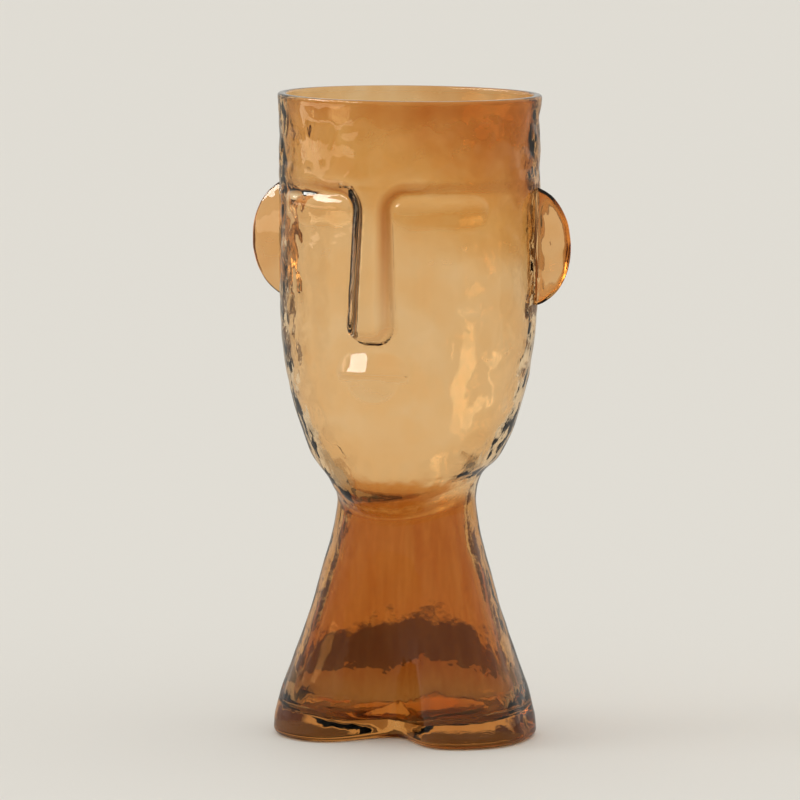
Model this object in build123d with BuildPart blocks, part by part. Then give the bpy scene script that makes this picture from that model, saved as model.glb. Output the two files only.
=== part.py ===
"""Face vase: a hollow head with two ears on a flared neck and foot, all in thick glass.

Millimetres, +Z up. The origin is on the surface that the vase stands on, on the axis of
the neck. The face looks along -Y, and the ears stand out along X.
"""

from build123d import *
import os
from math import copysign, cos, exp, radians, sin

# Heights along the axis: the forehead's is measured down from the rim
total_height = 290.0
neck_height = 110.0
forehead_height = 40.0
brow_drop = 5.0
foot_floor_thickness = 9.0
groove_top_height = 88.0

# Head: half width across the ears, depths forward and back of the axis, and walls
head_half_width = 59.5
forehead_depth = 58.0
face_depth = 53.0
head_back_depth = 56.0
chin_depth = 42.0
head_wall = 3.7
chin_wall = 5.5
rim_edge_radius = 1.0

# Neck and foot
neck_radius = 31.6
neck_bore_radius = 26.0
foot_half_width = 58.9
foot_front_depth = 46.0
foot_back_depth = 46.0
foot_wall = 6.5
front_groove_depth = 30.0
front_groove_half_width = 18.0
back_groove_depth = 8.0
back_groove_half_width = 22.0
foot_edge_radius = 3.0

# Nose, hung from the brow
nose_length = 66.0
nose_root_depth = 56.5
nose_tip_depth = 64.5
nose_root_half_width = 5.0
nose_tip_half_width = 7.4
nose_flank_width = 2.6
nose_ridge_radius = 3.0
nose_tip_radius = 2.2
nose_brow_radius = 6.5
nose_seat_depth = 30.0

# Eyelids and lips: where they lie, how far they swell up and down, and how far forward
eyelid_below_brow = 7.5
eyelid_half_thickness = 5.4
eyelid_proud = 3.0
upper_lip_below_nose = 12.0
upper_lip_half_thickness = 5.4
upper_lip_proud = 3.4
lower_lip_below_upper = 9.5
lower_lip_half_thickness = 5.0
lower_lip_proud = 3.0

# Ears: how far the middle of each lies below the brow and inside the head's side
ear_below_brow = 27.0
ear_sunk = 3.0
ear_half_width = 19.0
ear_half_height = 27.0
ear_thickness = 9.0
ear_edge_radius = 3.8
ear_set_back = 2.5

# Cuts run past what they cut by this much
overrun = 2.0

# Angles: half a turn, and round the face from straight ahead, the middle and half the
# reach of each swelling
half_turn = 180.0
eyelid_angle = 32.0
eyelid_half_reach = 19.0
lip_angle = 0.0
upper_lip_half_reach = 14.0
lower_lip_half_reach = 10.5

# Head stations from the chin, at 0, to under the brow, at 1. Each gives its height share,
# then how far the half width has grown from the neck's radius to the head's, how far the
# front has come out from the chin's depth to the face's, how far the back has grown, and
# how much of the chin's extra wall is left.
head_station_shares = (
    (0.000, 0.030, 0.00, 0.03, 1.00),
    (0.050, 0.110, 0.25, 0.11, 0.90),
    (0.100, 0.320, 0.42, 0.30, 0.70),
    (0.150, 0.460, 0.53, 0.44, 0.40),
    (0.275, 0.695, 0.70, 0.67, 0.15),
    (0.410, 0.860, 0.83, 0.83, 0.00),
    (0.590, 0.965, 0.95, 0.95, 0.00),
    (0.800, 0.995, 1.00, 1.00, 0.00),
    (1.000, 1.000, 1.00, 1.00, 0.00),
)

# Stem stations from the foot floor, at 0, to the chin, at 1, each with the share of the
# flare that is left, from none at the neck to all of it at the foot
stem_station_shares = (
    (0.00, 1.000),
    (0.12, 0.890),
    (0.30, 0.650),
    (0.50, 0.410),
    (0.68, 0.225),
    (0.83, 0.070),
    (0.93, 0.003),
    (1.00, 0.000),
)

# How far up the forehead, from the brow to the rim, the inside takes to follow it
inside_brow_share = 0.5

# How far out along a swelling its last section lies, just short of its tip
swelling_end_share = 0.97

# The foot's plan is squarer than an ellipse, and the grooves deepen faster towards it
round_power = 2.0
foot_power = 2.5
groove_power = 1.2

# How finely the surfaces are sliced
head_slices = 20
brow_slices = 5
nose_brow_slices = 5
swelling_slices = 8
stem_slices = 16
outline_points = 48

# Heights that follow from those above
brow_height = total_height - forehead_height
nose_tip_height = brow_height - nose_length
ear_height = brow_height - ear_below_brow


def between(low, high, share):
    """The value a share of the way from low to high."""
    return low + (high - low) * share


def smooth_row(rows, share):
    """The row at a share, on a smooth curve through each of the rows' values."""
    index = 0
    while share > rows[index + 1][0]:
        index += 1
    low, high = rows[index], rows[index + 1]
    before = rows[max(index - 1, 0)]
    after = rows[min(index + 2, len(rows) - 1)]
    span = high[0] - low[0]
    t = (share - low[0]) / span
    values = []
    for column in range(1, len(low)):
        leaving = (high[column] - before[column]) / (high[0] - before[0]) * span
        arriving = (after[column] - low[column]) / (after[0] - low[0]) * span
        values.append(
            (2 * t**3 - 3 * t**2 + 1) * low[column]
            + (t**3 - 2 * t**2 + t) * leaving
            + (3 * t**2 - 2 * t**3) * high[column]
            + (t**3 - t**2) * arriving
        )
    return values


def head_section(height, half_width, front_depth, back_depth):
    """A face of the head's plan: half an ellipse behind the ears and half in front."""
    with BuildSketch(Plane.XY.offset(height)) as section:
        with BuildLine():
            EllipticalCenterArc((0, 0), half_width, back_depth, 0, arc_size=half_turn)
            EllipticalCenterArc((0, 0), half_width, front_depth, half_turn, arc_size=half_turn)
        make_face()
    return section.sketch


def face_plan(share, inside=False):
    """Height, half width, front and back depth of the face, outside or inside its wall."""
    width_share, front_share, back_share, wall_share = smooth_row(head_station_shares, share)
    wall = between(head_wall, chin_wall, wall_share) if inside else 0
    return (
        between(neck_height, brow_height - brow_drop, share),
        between(neck_radius, head_half_width, width_share) - wall,
        between(chin_depth, face_depth, front_share) - wall,
        between(neck_radius, head_back_depth, back_share) - wall,
    )


def step_plans(lower, upper):
    """Plans that lead smoothly from the lower plan to the upper one, without the lower."""
    plans = []
    for slice_number in range(1, brow_slices + 1):
        share = slice_number / brow_slices
        eased = share**2 * (3 - 2 * share)
        sizes = [between(low, high, eased) for low, high in zip(lower[1:], upper[1:])]
        plans.append((between(lower[0], upper[0], share), *sizes))
    return plans


def stem_section(share, inside=False):
    """A face of the stem's plan, outside or inside its wall, with its two grooves."""
    height = between(foot_floor_thickness, neck_height, share)
    (flare,) = smooth_row(stem_station_shares, share)
    wall = between(foot_wall, neck_radius - neck_bore_radius, share) if inside else 0
    half_width = between(neck_radius, foot_half_width, flare) - wall
    front_depth = between(neck_radius, foot_front_depth, flare) - wall
    back_depth = between(neck_radius, foot_back_depth, flare) - wall
    growth = max(0.0, 1 - height / groove_top_height) ** groove_power
    front_reach = front_groove_half_width + wall / 2
    back_reach = back_groove_half_width + wall / 2
    power = 2 / between(round_power, foot_power, flare)
    points = []
    for step in range(outline_points):
        angle = radians(360 * step / outline_points)
        x = half_width * copysign(abs(cos(angle)) ** power, cos(angle))
        out = abs(sin(angle)) ** power
        if sin(angle) < 0:
            y = front_groove_depth * growth * exp(-((x / front_reach) ** 2)) - front_depth * out
        else:
            y = back_depth * out - back_groove_depth * growth * exp(-((x / back_reach) ** 2))
        points.append((x, y))
    with BuildSketch(Plane.XY.offset(height)) as section:
        with BuildLine():
            Spline(points, periodic=True)
        make_face()
    return section.sketch


def nose_section(height, sweep):
    """A face across the nose at a height, with its sides swept out by some more."""
    share = (height - nose_tip_height) / (brow_height - nose_tip_height)
    depth = between(nose_tip_depth, nose_root_depth, share)
    front_half_width = between(nose_tip_half_width, nose_root_half_width, share) + sweep
    side_half_width = front_half_width + nose_flank_width
    with BuildSketch(Plane.XY.offset(height)) as section:
        with BuildLine():
            Polyline(
                (-side_half_width, -nose_seat_depth),
                (-front_half_width, -depth),
                (front_half_width, -depth),
                (side_half_width, -nose_seat_depth),
                close=True,
            )
        make_face()
        fillet(section.vertices().group_by(Axis.Y)[0], radius=nose_ridge_radius)
    return section.sketch


def nose_sections():
    """Faces up the nose, whose sides run into the brow on a quarter turn."""
    sections = [nose_section(nose_tip_height, 0)]
    for slice_number in range(nose_brow_slices + 1):
        turn = radians(90 * slice_number / nose_brow_slices)
        height = brow_height - nose_brow_radius * (1 - sin(turn))
        sections.append(nose_section(height, nose_brow_radius * (1 - cos(turn))))
    return sections


def swelling(height, middle, half_reach, half_thickness, proud):
    """A rounded swelling that follows the face round, full in its middle and thin at its tips."""
    share = (height - neck_height) / (brow_height - brow_drop - neck_height)
    half_width, front_depth = face_plan(share)[1:3]
    with BuildPart() as rise:
        sections = []
        for slice_number in range(swelling_slices + 1):
            along = between(-swelling_end_share, swelling_end_share, slice_number / swelling_slices)
            angle = radians(middle + half_reach * along)
            reach = ((sin(angle) / half_width) ** 2 + (cos(angle) / front_depth) ** 2) ** -0.5
            ahead = Vector(sin(angle), -cos(angle), 0)
            size = (1 - along**2) ** 0.5
            plane = Plane(
                origin=ahead * reach + Vector(0, 0, height),
                x_dir=ahead,
                z_dir=(cos(angle), sin(angle), 0),
            )
            with BuildSketch(plane) as section:
                Ellipse(proud * size, half_thickness * size)
            sections.append(section.sketch)
        loft(sections=sections)
    return rise.part


# Head
eyelid_height = brow_height - eyelid_below_brow
upper_lip_height = nose_tip_height - upper_lip_below_nose
lower_lip_height = upper_lip_height - lower_lip_below_upper

forehead_plan = (brow_height, head_half_width, forehead_depth, head_back_depth)
outside_plans = [face_plan(slice_number / head_slices) for slice_number in range(head_slices + 1)]
outside_plans += step_plans(outside_plans[-1], forehead_plan)
outside_plans.append((total_height, *forehead_plan[1:]))

with BuildPart() as nose:
    loft(sections=nose_sections(), ruled=True)
    tip = nose.faces().sort_by(Axis.Z)[0]
    fillet(tip.edges().sort_by(Axis.Y)[:-1], radius=nose_tip_radius)

with BuildPart() as head_outside:
    loft(sections=[head_section(*plan) for plan in outside_plans], ruled=True)
    add(nose.part)
    for side in (-1, 1):
        add(swelling(eyelid_height, side * eyelid_angle, eyelid_half_reach,
                     eyelid_half_thickness, eyelid_proud))
    add(swelling(upper_lip_height, lip_angle, upper_lip_half_reach,
                 upper_lip_half_thickness, upper_lip_proud))
    add(swelling(lower_lip_height, lip_angle, lower_lip_half_reach,
                 lower_lip_half_thickness, lower_lip_proud))

inside_forehead_sizes = [size - head_wall for size in forehead_plan[1:]]
inside_brow_height = between(brow_height, total_height, inside_brow_share)
inside_plans = [(neck_height, neck_bore_radius, neck_bore_radius, neck_bore_radius)]
for slice_number in range(1, head_slices + 1):
    inside_plans.append(face_plan(slice_number / head_slices, inside=True))
inside_plans += step_plans(inside_plans[-1], (inside_brow_height, *inside_forehead_sizes))
inside_plans.append((total_height + overrun, *inside_forehead_sizes))

with BuildPart() as head:
    add(head_outside.part)
    loft(sections=[head_section(*plan) for plan in inside_plans], ruled=True, mode=Mode.SUBTRACT)
    fillet(head.faces().sort_by(Axis.Z)[-1].edges(), radius=rim_edge_radius)

# Neck and foot
stem_shares = [slice_number / stem_slices for slice_number in range(stem_slices + 1)]

with BuildPart() as neck_and_foot:
    loft(sections=[stem_section(share) for share in stem_shares])
    loft(sections=[stem_section(share, inside=True) for share in stem_shares],
         mode=Mode.SUBTRACT)

# Foot floor
with BuildPart() as foot_floor:
    extrude(stem_section(0), amount=-foot_floor_thickness)
    underside = foot_floor.faces().sort_by(Axis.Z)[0]
    fillet(underside.edges(), radius=foot_edge_radius)


def make_ear(side):
    """One ear, a thick rounded lobe that stops at the head's outer surface."""
    plane = Plane(
        origin=(side * (head_half_width - ear_sunk), ear_set_back + ear_thickness / 2, ear_height),
        x_dir=(1, 0, 0),
        z_dir=(0, -1, 0),
    )
    with BuildPart() as ear:
        with BuildSketch(plane):
            Ellipse(ear_half_width, ear_half_height)
        extrude(amount=ear_thickness)
        fillet(ear.edges(), radius=ear_edge_radius)
        add(head_outside.part, mode=Mode.SUBTRACT)
    return ear


left_ear = make_ear(1)
right_ear = make_ear(-1)

os.makedirs("parts", exist_ok=True)

head.part.label = "head"
export_step(head.part, "parts/head.step")

neck_and_foot.part.label = "neck_and_foot"
export_step(neck_and_foot.part, "parts/neck_and_foot.step")

foot_floor.part.label = "foot_floor"
export_step(foot_floor.part, "parts/foot_floor.step")

left_ear.part.label = "left_ear"
export_step(left_ear.part, "parts/left_ear.step")

right_ear.part.label = "right_ear"
export_step(right_ear.part, "parts/right_ear.step")
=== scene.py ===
"""Face vase: the amber glass of a hollow head with two ears on a grooved foot.

Metres, +Z up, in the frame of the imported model. The face looks along -Y.
"""

from math import atan2, cos, pi, radians, sin

import bmesh
import bpy
import numpy as np
from bpy.props import FloatProperty, FloatVectorProperty, IntProperty, PointerProperty
from bpy.types import Operator, Panel, PropertyGroup
from mathutils import Matrix, Vector


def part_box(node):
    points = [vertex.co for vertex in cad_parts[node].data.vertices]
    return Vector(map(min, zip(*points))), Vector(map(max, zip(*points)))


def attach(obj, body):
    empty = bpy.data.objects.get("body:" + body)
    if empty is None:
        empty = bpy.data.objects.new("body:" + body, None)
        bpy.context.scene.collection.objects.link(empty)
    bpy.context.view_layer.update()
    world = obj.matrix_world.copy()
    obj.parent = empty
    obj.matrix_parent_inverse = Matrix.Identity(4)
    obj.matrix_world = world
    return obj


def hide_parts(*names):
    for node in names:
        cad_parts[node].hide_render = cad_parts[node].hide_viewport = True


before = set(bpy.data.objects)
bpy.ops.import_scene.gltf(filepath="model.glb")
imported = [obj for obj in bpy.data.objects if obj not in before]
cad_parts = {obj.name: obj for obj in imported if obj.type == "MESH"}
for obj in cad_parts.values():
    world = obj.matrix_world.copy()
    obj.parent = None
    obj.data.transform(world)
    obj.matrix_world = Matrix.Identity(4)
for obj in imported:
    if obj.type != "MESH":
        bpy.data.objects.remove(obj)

bl_info = {
    "name": "Face Vase",
    "version": (1, 0, 0),
    "blender": (4, 5, 0),
    "location": "View3D > Sidebar > Face Vase",
    "description": "Models an amber glass vase in the form of a head, and its studio",
    "category": "Object",
}

MM = 0.001
GLASS_NAME = "honey_glass"

HEAD_LOW, HEAD_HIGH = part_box("head")
FOOT_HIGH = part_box("foot_floor")[1]
EAR_LOW, EAR_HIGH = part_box("left_ear")

# From the chin, at 0, to under the brow, at 1: the height share, then the growth of the
# half width from the neck's radius, of the front from the chin's depth, and of the back
HEAD_SHARES = np.array((
    (0.000, 0.030, 0.00, 0.03),
    (0.050, 0.110, 0.25, 0.11),
    (0.100, 0.320, 0.42, 0.30),
    (0.150, 0.460, 0.53, 0.44),
    (0.275, 0.695, 0.70, 0.67),
    (0.410, 0.860, 0.83, 0.83),
    (0.590, 0.965, 0.95, 0.95),
    (0.800, 0.995, 1.00, 1.00),
    (1.000, 1.000, 1.00, 1.00),
))

# From the foot's floor, at 0, to the chin, at 1: the share of the flare that is left
STEM_SHARES = np.array((
    (0.00, 1.000),
    (0.12, 0.890),
    (0.30, 0.650),
    (0.50, 0.410),
    (0.68, 0.225),
    (0.83, 0.070),
    (0.93, 0.003),
    (1.00, 0.000),
))

# The glass body's columns run round it from +X over the front, and its rows run up the
# outside, over the rim and down the inside. Each band has its own number of rows. A focus
# draws columns or rows together round a place: its reach, then its strength.
COLUMNS = 288
OUTER_BANDS = {"edge": 7, "stem": 46, "chin": 8, "face": 86, "brow": 14, "forehead": 19}
INNER_BANDS = {"forehead": 10, "brow": 14, "face": 40, "neck": 9, "stem": 14, "corner": 9,
               "floor": 8}
OUTER_ROWS = sum(OUTER_BANDS.values())
INNER_ROWS = sum(INNER_BANDS.values())
SPREAD_SAMPLES = 4001
NOSE_COLUMN_FOCUS = (radians(15), 3.0)
FACE_COLUMN_FOCUS = (radians(65), 1.2)
NOSE_FOCUS = (3.5 * MM, 3.0)
LIP_FOCUS = (11 * MM, 1.0)
BROW_FOCUS = (8 * MM, 1.0)
INNER_NOSE_FOCUS = (5 * MM, 2.0)
BROW_BAND_BELOW = 1 * MM
BROW_BAND_ABOVE = 3 * MM
INNER_BROW_BAND = 12 * MM

# Stem, chin and hollow
GROOVE_POWER = 1.2
ROUND_POWER = 2.0
FOOT_POWER = 2.5
CREASE_BELOW = 7 * MM
CREASE_ABOVE = 6 * MM
CREASE_LIFT = 3 * MM
CHIN_SAG = 4.5 * MM
CHIN_SAG_REACH = 14 * MM
CHIN_SAG_POWER = 1.5
CHIN_WALL_REACH = 50 * MM
CORNER_RISE = 8 * MM
CORNER_SHARE = 0.16

# Lids, lips, and how the relief passes from the nose to the brow
LID_ANGLE = radians(33)
LID_HALF_ANGLE = radians(13)
LID_END = 11 * MM
LIP_END_POWER = 4
LIP_TAPER_POWER = 0.6
LIP_EDGE_SHARES = (-0.2, 0.14)
LOWER_LIP_POWER = 1.2
SWELL_AHEAD_SHARE = 0.3
SWELL_FADE = 3 * MM
LEAST_DEPTH = 1 * MM
RIDGE_END_SHARE = 1.02
NOSE_OVERRUN_SHARE = 1.1
BESIDE_NOSE = (8 * MM, 24 * MM)
INNER_GAP_SHARE = 0.8
INNER_DROP_REACH = 20 * MM

# The map that tells the glass how far each place lies from the ridge of nose and brow, and how
# much painted shade the glass takes along the ridge's fall there
RELIEF_MAP = "relief"
RELIEF_SPAN = 40 * MM
FLANK_LOW_SHARE = 0.35
FLANK_BROW_SHARE = 0.3
FLANK_TOP = 12 * MM
FLANK_BESIDE = (6 * MM, 45 * MM)

# Dimples and ripples: where they fade out, and the share of them that each place keeps
PLAIN_RIM = 2.5 * MM
RIM_FADE = 8 * MM
FOOT_FADE = 6 * MM
RIPPLES_ABOVE_CHIN = 4 * MM
RIPPLES_BELOW_CHIN = 8 * MM
FOREHEAD_FADE = 8 * MM
CHEEK_RISE = 45 * MM
CHEEK_SHARES = (0.35, 0.55)
AHEAD_SHARES = (0.55, 0.95)
AHEAD_LOSS_SHARE = 0.6
STEM_DIMPLE_SHARE = 0.25
EAR_CLEARANCE = 7 * MM
EAR_FADE = 6 * MM
RIPPLE_STRETCH = 9

# Fineness of round pieces, and the sharpest angle that is still shaded smooth
RIM_SEGMENTS = 4
EAR_SEGMENTS, EAR_RINGS = 96, 48
KERB_SEGMENTS = 96
SMOOTH_ANGLE, EAR_SMOOTH_ANGLE = radians(60), radians(50)

# How near counts as the same place
UPRIGHT_SLACK = 0.1 * MM
RIM_SLACK = 0.01 * MM
SEAM_SLACK = 0.001 * MM
AXIS_SLACK = 1 * MM
TINY = 1e-9

# How the tints lie: towards the left of the brow and the back the deeper ones reach lower
TINT_LEAN = 0.65
TINT_LEAN_RISE = 60 * MM
TINT_LEAN_LIMIT = -20 * MM
TINT_BACK_LEAN = 0.11
TINT_TOP_SHARE = 1.1
EAR_TINT_FADE = 1 * MM
STREAK_FADE = 5 * MM
MOTTLING_RANGE = (0.3, 0.7)
MOTTLING_DEPTHS = (0.83, 1.17)
# The painted shade along the ridge's fall is at its darkest within this share of its reach
FLANK_CORE_SHARE = 0.1
CLOUD_SCALE = 55
STREAK_SCALE = 260
STREAK_SQUASH = 0.08
RIPPLE_SCALE = 220

# Studio: cards by their turn from -Y towards +X in degrees, and lamps with their azimuth,
# counted the same way, elevation, distance, width, height, power, colour, and whether the
# glass lets them through instead of reflecting them
CARD_TURNS = (22.5, 67.5, 112.5, 157.5, 226, 247.5, 269, 292.5, 337.5)
SMALL_CARD_TURNS = (226, 269)
CARD_FADE_SHARE = 0.35
KERB_FULL_SHARE = 0.8
FLOOR_SIZE = 14
FLOOR_DROP = 0.3 * MM
TABLE_CARD_DROP = 0.15 * MM
TABLE_CARD_SIDE = -50 * MM
COOL, WARM = (0.92, 0.98, 1.0), (1.0, 0.8, 0.58)
LAMP_TARGET = Vector((0, 0, 0.15))
LAMPS = (
    ("near_strip", -60, 13.6, 0.35, 0.3, 0.043, 0.14, WARM, False),
    ("window", -58, 28.5, 3, 3.4, 0.8, 170, COOL, False),
    ("window_glow", -60, 18, 3, 2.6, 1.4, 64, COOL, True),
)
SUN_AZIMUTH, SUN_ELEVATION, SUN_SPREAD, SUN_POWER = -60, 18, 40, 0.6


def length(name, description, default):
    """A size in millimetres that a user may change, shown in the scene's own unit."""
    return FloatProperty(name=name, description=description, default=default * MM,
                         unit="LENGTH", precision=5)


def number(name, description, default):
    """A plain number that a user may change."""
    return FloatProperty(name=name, description=description, default=default, min=0)


def turn_of(name, description, default):
    """An angle that a user may change, given in degrees."""
    return FloatProperty(name=name, description=description, default=radians(default),
                         subtype="ANGLE")


def tint(name, description, default):
    """A colour, as linear red, green and blue."""
    return FloatVectorProperty(name=name, description=description, default=default,
                               subtype="COLOR", size=3, min=0, max=1)


class FaceVaseSizes(PropertyGroup):
    """Sizes of the head, the stem and the foot."""

    height: length("Height", "From the table to the rim", HEAD_HIGH.z / MM)
    chin_height: length("Chin height", "From the table to the chin", HEAD_LOW.z / MM)
    brow_height: length("Brow height", "From the table to the brow's lower edge", 250)
    brow_drop: length("Brow drop", "Height over which the brow falls to the face", 5)
    head_half_width: length("Head half width", "Axis to the head's side", HEAD_HIGH.x / MM)
    forehead_depth: length("Forehead depth", "Axis to the forehead", 58)
    face_depth: length("Face depth", "Axis to the cheeks, straight ahead", 53)
    head_back_depth: length("Back depth", "Axis to the back of the head", HEAD_HIGH.y / MM)
    chin_depth: length("Chin depth", "Axis to the chin", 42)
    head_wall: length("Head wall", "Glass in the head", 3.7)
    chin_wall: length("Chin wall", "Glass round the chin", 5.5)
    rim_edge: length("Rim edge", "Radius of the polished rim", 1.0)
    neck_radius: length("Neck radius", "Outside of the neck", 31.6)
    neck_bore_radius: length("Neck bore", "Inside of the neck", 26)
    foot_half_width: length("Foot half width", "Axis to the foot's side", FOOT_HIGH.x / MM)
    foot_depth: length("Foot depth", "Axis to the foot's front and back", 46)
    foot_wall: length("Foot wall", "Glass round the foot", 6.5)
    foot_floor: length("Foot floor", "Glass under the hollow", FOOT_HIGH.z / MM)
    floor_rise: length("Floor rise", "Rise of the hollow's floor to its middle", 7)
    foot_edge: length("Foot edge", "Radius of the foot's lower edge", 3)
    groove_top: length("Groove top", "Height where the grooves run out", 88)
    front_groove_depth: length("Front groove", "Depth at the foot", 30)
    front_groove_reach: length("Front groove reach", "Half the groove's width", 18)
    back_groove_depth: length("Back groove", "Depth at the foot", 8)
    back_groove_reach: length("Back groove reach", "Half the groove's width", 22)


class FaceVaseFeatures(PropertyGroup):
    """Sizes of the nose, the brow, the eyelids, the lips, the ears and the dimples."""

    nose_tip_height: length("Nose tip height", "From the table to under the nose", 184)
    nose_tip_depth: length("Nose tip depth", "Axis to the tip", 64.1)
    nose_tip_half_width: length("Nose tip half width", "Half the ridge, low", 9.4)
    nose_root_half_width: length("Nose root half width", "Half the ridge, high", 7.0)
    nose_corner: length("Nose corner", "Radius of the nose's lower corners", 7)
    nose_flank: length("Nose flank", "How far the ridge falls past its edge", 2.4)
    nose_brow_radius: length("Nose to brow", "Radius where they meet", 9.5)
    nose_wall: length("Nose wall", "Glass over the hollow of the nose", 3.4)
    ridge_round: length("Ridge round", "Ridge's edge in to where it falls", 5.2)
    ridge_power: number("Ridge power", "How late the ridge falls", 4)
    ridge_foot: number("Ridge foot", "Share of its fall where its foot starts", 0.7)
    inner_flank: length("Inner flank", "How far the nose's hollow falls", 2.6)
    inner_round: length("Inner round", "Its edge in to where it falls", 4.5)
    inner_power: number("Inner power", "How late it falls", 4)
    brow_fall: length("Brow fall", "How far the fall reaches below the brow", 5.0)
    brow_round: length("Brow round", "Height over which the brow rounds over", 9.0)
    brow_power: number("Brow power", "How late the brow falls", 2)
    brow_foot: number("Brow foot", "Share of its fall where its foot starts", 0.3)
    lid_height: length("Eyelid height", "From the table to the lid's middle", 241.6)
    lid_half_thickness: length("Eyelid half thickness", "Up and down", 7.0)
    lid_proud: length("Eyelid swell", "How far the lid stands out", 2.4)
    upper_lip_height: length("Upper lip height", "Table to its lower edge", 167)
    upper_lip_half_width: length("Upper lip half width", "Round the face", 17.5)
    upper_lip_rise: length("Upper lip rise", "From its lower edge to its top", 11.5)
    upper_lip_proud: length("Upper lip swell", "How far it stands out", 4.8)
    lower_lip_height: length("Lower lip height", "Table to its middle", 166)
    lower_lip_half_width: length("Lower lip half width", "Round the face", 13)
    lower_lip_half_thickness: length("Lower lip half thickness", "Up and down", 11)
    lower_lip_proud: length("Lower lip swell", "How far it stands out", 2.6)
    ear_centre_x: length("Ear centre", "Axis to the middle of its outline", 56.5)
    ear_half_width: length("Ear half width", "Of the ear's outline", 19)
    ear_seam: length("Ear seam", "Gap between the ear and the head", 0.05)
    dimple_size: length("Dimple size", "Across, on the head", 11)
    dimple_depth: length("Dimple depth", "On the head", 1.9)
    ripple_size: length("Ripple size", "Across, on the stem", 6)
    ripple_depth: length("Ripple depth", "On the stem", 0.5)
    ear_dimple_size: length("Ear dimple size", "Across, on the ears", 8)
    ear_dimple_depth: length("Ear dimple depth", "On the ears", 0.7)


class FaceVaseGlass(PropertyGroup):
    """Colours of the glass, and the painted shade along the fall of nose and brow."""

    foot_tint: tint("Foot tint", "Round the foot's floor", (0.84, 0.60, 0.33))
    neck_tint: tint("Neck tint", "Over the neck and stem", (0.72, 0.39, 0.135))
    face_tint: tint("Face tint", "Over the cheeks and chin", (0.975, 0.785, 0.545))
    forehead_tint: tint("Forehead tint", "Over the brow", (0.90, 0.64, 0.335))
    rim_tint: tint("Rim tint", "What the forehead deepens to", (0.74, 0.41, 0.165))
    ear_tint: tint("Ear tint", "Over the ears", (0.86, 0.50, 0.215))
    absorption: tint("Absorption", "What thick glass tends to", (0.86, 0.60, 0.20))
    # Painted shade: the colour that darkens the fall of nose and brow, and where it lies, for
    # the dark line that the steep relief shows in the glass
    painted_flank_shade: tint("Flank tint", "What darkens the ridge's fall", (0.66, 0.44, 0.27))
    flank_middle: length("Flank middle", "Ridge's edge to its deepest colour", 0.2)
    flank_reach: length("Flank reach", "How far the deeper colour spreads", 2.6)
    density: number("Density", "How fast thick glass darkens", 30)


class FaceVaseStudio(PropertyGroup):
    """Camera, cards and backdrop."""

    azimuth: turn_of("Azimuth", "Camera's turn round the vase", 18)
    distance: length("Distance", "Camera to the axis, level", 3000)
    eye_height: length("Eye height", "Camera above the table", 486)
    target_height: length("Target height", "Where the camera looks", 151.6)
    target_side: length("Target side", "Target to the camera's right", -3.4)
    roll: turn_of("Roll", "Camera's lean", 0.45)
    pixels_per_metre: number("Pixels per metre", "Scale of the picture at the vase", 2220)
    picture_width: IntProperty(name="Picture width", description="In pixels", default=800)
    card_distance: length("Card distance", "Axis to the dark cards", 700)
    card_width: length("Card width", "Of each dark card", 420)
    card_height: length("Card height", "Of each dark card", 500)
    small_card: length("Small card", "Across each small card", 240)
    small_card_height: length("Small card height", "Table to its middle", 150)
    card_colour: tint("Card colour", "Of the upright cards", (0.12, 0.068, 0.034))
    table_card: length("Table card", "Across the dark card under the foot", 600)
    table_colour: tint("Table card colour", "Under the foot", (0.45, 0.38, 0.29))
    kerb_radius: length("Kerb radius", "Of the low dark ring round the foot", 130)
    kerb_base: length("Kerb base", "Table to the ring's lower edge", 9)
    kerb_height: length("Kerb height", "Of the low dark ring round the foot", 25)
    kerb_colour: tint("Kerb colour", "Of the ring", (0.24, 0.22, 0.2))
    backdrop: tint("Backdrop", "Floor and what lies behind", (0.738, 0.716, 0.665))
    reflected_floor: tint("Reflected floor", "The floor in the glass", (0.35, 0.33, 0.30))


def set_mode(mode):
    """Into edit mode, or back out of it."""
    bpy.ops.object.mode_set(mode=mode)


def deselect_all():
    """Nothing selected and no edit mode, as each operator expects."""
    if bpy.context.object and bpy.context.object.mode != "OBJECT":
        set_mode("OBJECT")
    bpy.ops.object.select_all(action="DESELECT")


def apply_place():
    """Puts the new piece's place, turn and scale into its mesh."""
    bpy.ops.object.transform_apply(location=True, rotation=True, scale=True)


def turn_faces_outwards():
    """Selects all of the piece in edit mode and points its faces outwards."""
    bpy.ops.mesh.select_all(action="SELECT")
    bpy.ops.mesh.normals_make_consistent(inside=False)


def smoothstep(low, high, value):
    """0 below low, 1 above high, and a smooth rise between them."""
    share = np.clip((value - low) / (high - low), 0, 1)
    return share * share * (3 - 2 * share)


def between(low, high, share):
    """The value a share of the way from low to high."""
    return low + (high - low) * share


def beyond(value, low, high):
    """How far a value lies outside a span, and less than 0 within it."""
    return abs(value - (low + high) / 2) - (high - low) / 2


def smooth_curve(table, column, at):
    """Values on a smooth curve through one column of a table of shares."""
    stops, values = table[:, 0], table[:, column]
    slopes = np.empty_like(values)
    slopes[1:-1] = (values[2:] - values[:-2]) / (stops[2:] - stops[:-2])
    slopes[0] = (values[1] - values[0]) / (stops[1] - stops[0])
    slopes[-1] = (values[-1] - values[-2]) / (stops[-1] - stops[-2])
    at = np.clip(at, 0, 1)
    index = np.clip(np.searchsorted(stops, at, side="right") - 1, 0, len(stops) - 2)
    span = stops[index + 1] - stops[index]
    t = (at - stops[index]) / span
    return ((2 * t**3 - 3 * t**2 + 1) * values[index]
            + (t**3 - 2 * t**2 + t) * slopes[index] * span
            + (3 * t**2 - 2 * t**3) * values[index + 1]
            + (t**3 - t**2) * slopes[index + 1] * span)


def round_union(first, second, radius):
    """Distance to the nearer of two shapes, with their inner corner rounded."""
    reach = np.hypot(np.clip(radius - first, 0, None), np.clip(radius - second, 0, None))
    return np.maximum(radius, np.minimum(first, second)) - reach


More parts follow.
